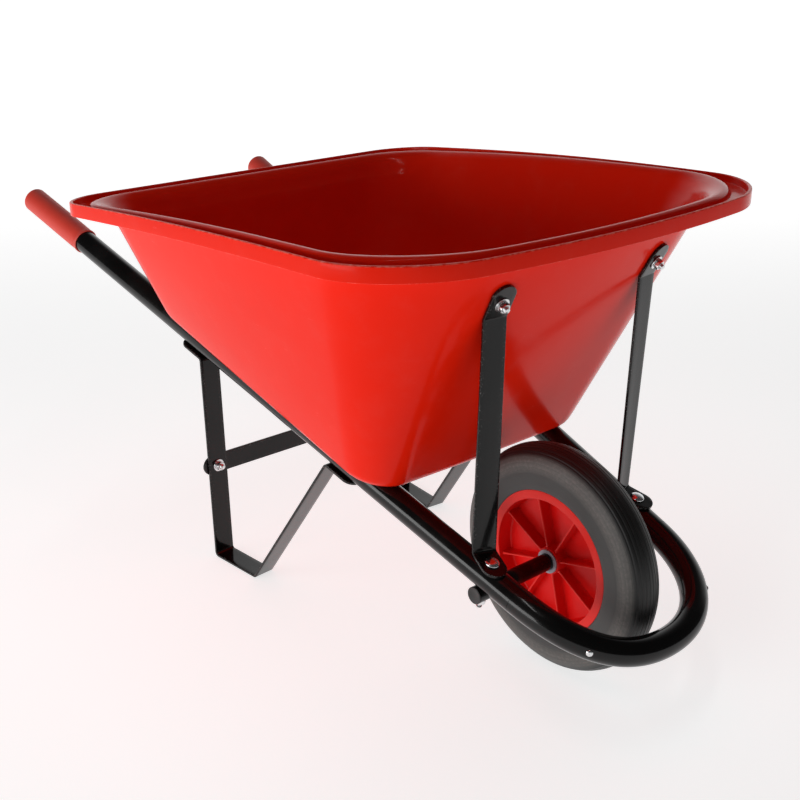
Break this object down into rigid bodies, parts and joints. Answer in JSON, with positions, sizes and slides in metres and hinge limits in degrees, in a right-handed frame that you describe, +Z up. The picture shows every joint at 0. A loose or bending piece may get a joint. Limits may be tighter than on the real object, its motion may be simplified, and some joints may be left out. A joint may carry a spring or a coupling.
{
  "type": "wheelbarrow",
  "caption": "Single-wheel wheelbarrow with a deep moulded tray, sloping tube handles with grips, a tube loop round the wheel and bent strap legs.",
  "frame": {"origin": "centre of the bounding box at the ground, under the middle of the barrow", "axes": "+X forward towards the wheel, +Y to the barrow's left, +Z up"},
  "size_m": [1.2852, 0.7284, 0.6485],
  "materials": {
    "tray_red": "gloss moulded",
    "rim_red": "satin moulded",
    "black_paint": "gloss powder coat",
    "grip_red": "soft matte",
    "tyre_rubber": "matte, scuffed shoulder",
    "bush_nylon": "matte",
    "black_plastic": "satin moulded",
    "zinc": "bright zinc plate"
  },
  "bodies": {
    "frame": {"tray": "tray_red", "handle_tube_right": "black_paint", "handle_tube_left": "black_paint", "front_loop": "black_paint", "leg_right": "black_paint", "leg_left": "black_paint", "leg_brace": "black_paint", "stay_right": "black_paint", "stay_left": "black_paint", "axle_tube": "black_paint", "grip_right": "grip_red", "grip_left": "grip_red", "axle_plug_right": "black_plastic", "axle_plug_left": "black_plastic", "tray_bolt_front_right": "zinc", "tray_bolt_rear_right": "zinc", "tray_nut_front_right": "zinc", "tray_nut_rear_right": "zinc", "axle_bolt_right": "zinc", "axle_nut_right": "zinc", "stay_bolt_right": "zinc", "stay_washer_right": "zinc", "stay_nut_right": "zinc", "brace_bolt_right": "zinc", "brace_washer_right": "zinc", "brace_nut_right": "zinc", "loop_rivet_right": "zinc", "tray_bolt_front_left": "zinc", "tray_bolt_rear_left": "zinc", "tray_nut_front_left": "zinc", "tray_nut_rear_left": "zinc", "axle_bolt_left": "zinc", "axle_nut_left": "zinc", "stay_bolt_left": "zinc", "stay_washer_left": "zinc", "stay_nut_left": "zinc", "brace_bolt_left": "zinc", "brace_washer_left": "zinc", "brace_nut_left": "zinc", "loop_rivet_left": "zinc"},
    "wheel": {"tyre": "tyre_rubber", "wheel_rim": "rim_red", "hub_bush_right": "bush_nylon", "hub_bush_left": "bush_nylon"}
  },
  "joints": [
    {"name": "wheel_spin", "type": "hinge", "parent": "frame", "child": "wheel", "pos_m": [0.43159, 0, 0.165], "axis": [0, 1, 0], "continuous": true}
  ]
}
